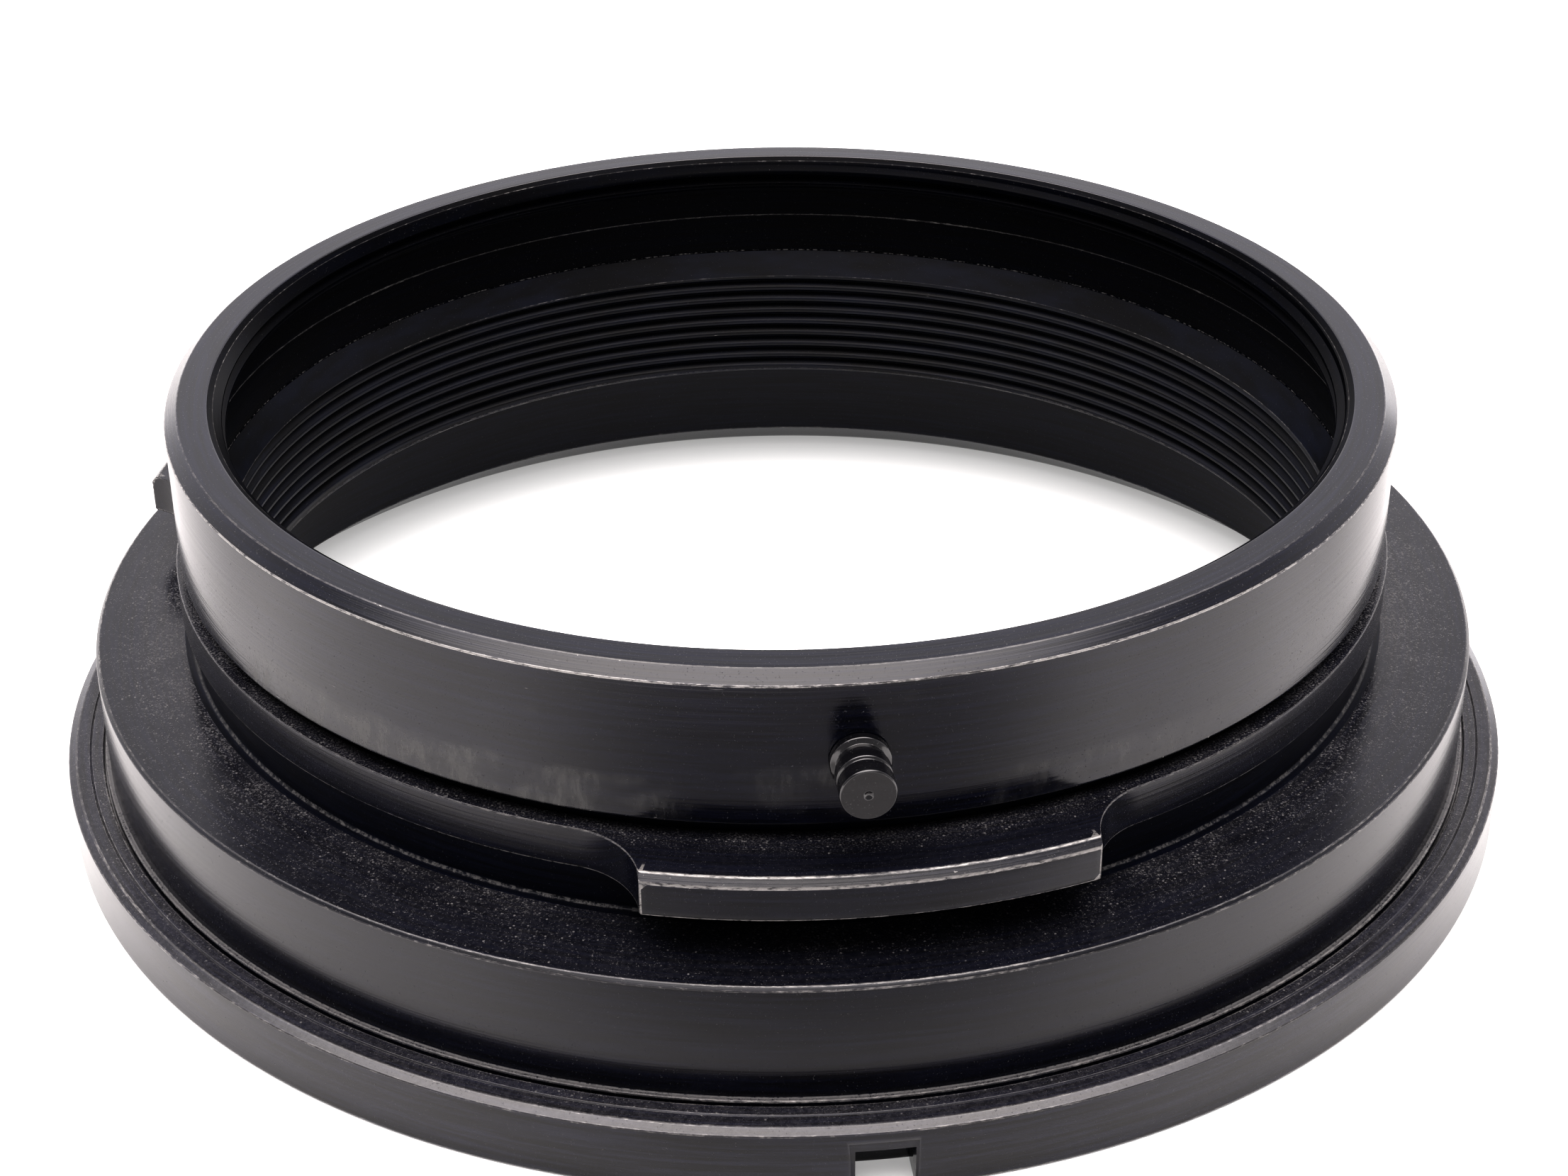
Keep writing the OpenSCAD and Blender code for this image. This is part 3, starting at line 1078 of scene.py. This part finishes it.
def floor():
    """Plain pale floor that glows a little all over like a light table, and glows more inside the adapter:
    painted light that lifts the shade in there.
    """
    material = flat_square("floor", 3.0, 0.0)[1]
    n = Nodes(material.node_tree)
    shader = material.node_tree.nodes["Principled BSDF"]
    place = n.coordinate("Object")
    grain = n.noise(place, scale=900.0, detail=3.0)
    n.put(shader, "Base Color", n.blend(grain, rgb(0.72, 0.72, 0.72), rgb(0.76, 0.76, 0.76)))
    n.put(shader, "Roughness", 0.9)
    n.put(shader, "Specular IOR Level", 0.0)
    n.put(shader, "Emission Color", rgb(1.0, 0.99, 0.98))
    x, y, _ = n.split(place)
    # painted light: the glow is stronger inside the adapter, where shade falls
    n.put(shader, "Emission Strength", n.ramp(n.length(x, y), 0.03, 0.04, 0.5, 0.12))


def painted_reflection_shade():
    """Dims the floor in reflections only, as painted shade: in a soft patch on the camera's side, and a
    little farther back.
    """
    centre_x, centre_y = 0.005, -0.058
    above_floor = 0.0002
    narrowed = 0.5  # the patch is this much narrower in depth than in width
    obj, material = flat_square("painted_reflection_shade", 0.12, above_floor)
    tree = material.node_tree
    tree.nodes.clear()
    n = Nodes(tree)
    x, y, _ = n.split(n.coordinate("Object"))
    distance = n.length(n.times(n.minus(x, centre_x), narrowed), n.minus(y, centre_y))
    # painted shade in reflections: a dark soft patch on the camera's side, and a fainter dimming behind the
    # adapter
    patch = n.ramp(distance, 0.007, 0.026, 0.68, 0.0)
    behind = n.ramp(y, -0.016, 0.004, 0.0, 0.27)
    dark = n.new("ShaderNodeBsdfDiffuse")
    n.put(dark, "Color", rgb(0.02, 0.02, 0.022))
    mix = n.new("ShaderNodeMixShader")
    n.put(mix, 0, n.larger(patch, behind))
    n.put(mix, 1, n.new("ShaderNodeBsdfTransparent").outputs[0])
    n.put(mix, 2, dark.outputs[0])
    output = n.new("ShaderNodeOutputMaterial")
    n.put(output, "Surface", mix.outputs[0])
    obj.visible_camera = False
    obj.visible_shadow = False
    obj.visible_diffuse = False


def tent_light(n, direction):
    """Strength of the tent's light, and how far a direction is from the overhead light's centre."""
    x, y, z = n.split(direction)
    elevation = n.math("DEGREES", n.math("ARCSINE", z))
    turn = n.direction(x, y)
    azimuth = n.math("ABSOLUTE", turn)
    # a low bright window on either side of the back, brighter on the right
    window = n.times(n.ramp(azimuth, 138.0, 148.0), n.ramp(azimuth, 166.0, 158.0))
    window = n.times(window, n.ramp(elevation, 20.0, 10.0))
    window = n.times(window, n.ramp(turn, -60.0, 60.0, 0.75, 1.9))
    # pale walls, dim on the camera's side and a little dimmer higher up
    walls = n.times(n.ramp(azimuth, 30.0, 120.0, 0.4, 1.06), n.ramp(elevation, 26.0, 37.0, 1.0, 0.72))
    # the overhead light leans a little to the left
    lean = math.radians(3)
    towards = n.new("ShaderNodeVectorMath", operation="DOT_PRODUCT")
    n.put(towards, 0, direction)
    n.put(towards, 1, (-math.sin(lean), 0.0, math.cos(lean)))
    away = n.math("DEGREES", n.math("ARCCOSINE", towards.outputs["Value"]))
    overhead = n.ramp(away, 50.0, 22.0, 0.0, 5.4)
    return n.plus(window, n.plus(walls, overhead)), away


def surroundings():
    """A soft light tent: bright overhead and low at the back, and dim on the camera's side.

    The camera itself sees plain white there.
    """
    world = bpy.data.worlds.new("tent")
    bpy.context.scene.world = world
    world.use_nodes = True
    tree = world.node_tree
    tree.nodes.clear()
    n = Nodes(tree)
    strength, away = tent_light(n, n.coordinate("Generated"))
    low_colour = rgb(1.0, 0.965, 0.985)
    overhead_colour = rgb(1.0, 0.935, 0.915)
    light = n.new("ShaderNodeBackground")
    n.put(light, "Color", n.blend(n.ramp(away, 50.0, 20.0), low_colour, overhead_colour))
    n.put(light, "Strength", strength)
    backdrop = n.new("ShaderNodeBackground")
    n.put(backdrop, "Color", WHITE)
    seen = n.new("ShaderNodeMixShader")
    n.put(seen, 0, n.new("ShaderNodeLightPath").outputs["Is Camera Ray"])
    n.put(seen, 1, light.outputs[0])
    n.put(seen, 2, backdrop.outputs[0])
    output = n.new("ShaderNodeOutputWorld")
    n.put(output, "Surface", seen.outputs[0])


def camera():
    """The photograph's view of the adapter: about 30 degrees down, from 13 cm in front."""
    place = Vector((0.0, -0.13004, 0.08242))
    yaw, pitch, roll = 0.00071, 0.51664, -0.00851  # radians
    forward = Vector((math.sin(yaw) * math.cos(pitch), math.cos(yaw) * math.cos(pitch), -math.sin(pitch)))
    right = Vector((math.cos(yaw), -math.sin(yaw), 0.0))
    up = right.cross(forward)
    side = right * math.cos(roll) + up * math.sin(roll)
    top = up * math.cos(roll) - right * math.sin(roll)
    lens = bpy.data.cameras.new("camera")
    lens.lens = 64.18
    lens.sensor_width = 36.0
    lens.clip_start = 0.005
    obj = bpy.data.objects.new("camera", lens)
    bpy.context.scene.collection.objects.link(obj)
    turn = Matrix((side, top, -forward)).transposed().to_4x4()
    obj.matrix_world = Matrix.Translation(place) @ turn
    bpy.context.scene.camera = obj


# the faces inside the barrel and the sleeve get the shaded copy of the black: painted shade
bore = bore_shaded_black()
build_barrel(barrel_black(), bore)
build_sleeve(sleeve_black(), bore)
build_bayonet_ring(bayonet_black())
build_body(body_black(), recess_black())
build_coupling(coupling_black())
build_pin(pin_black())

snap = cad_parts["snap_ring"]
snap.data.materials.clear()
snap.data.materials.append(spring_steel())

floor()
painted_reflection_shade()
surroundings()
camera()
bpy.context.scene.view_settings.view_transform = "Standard"
bpy.context.scene.view_settings.look = "High Contrast"
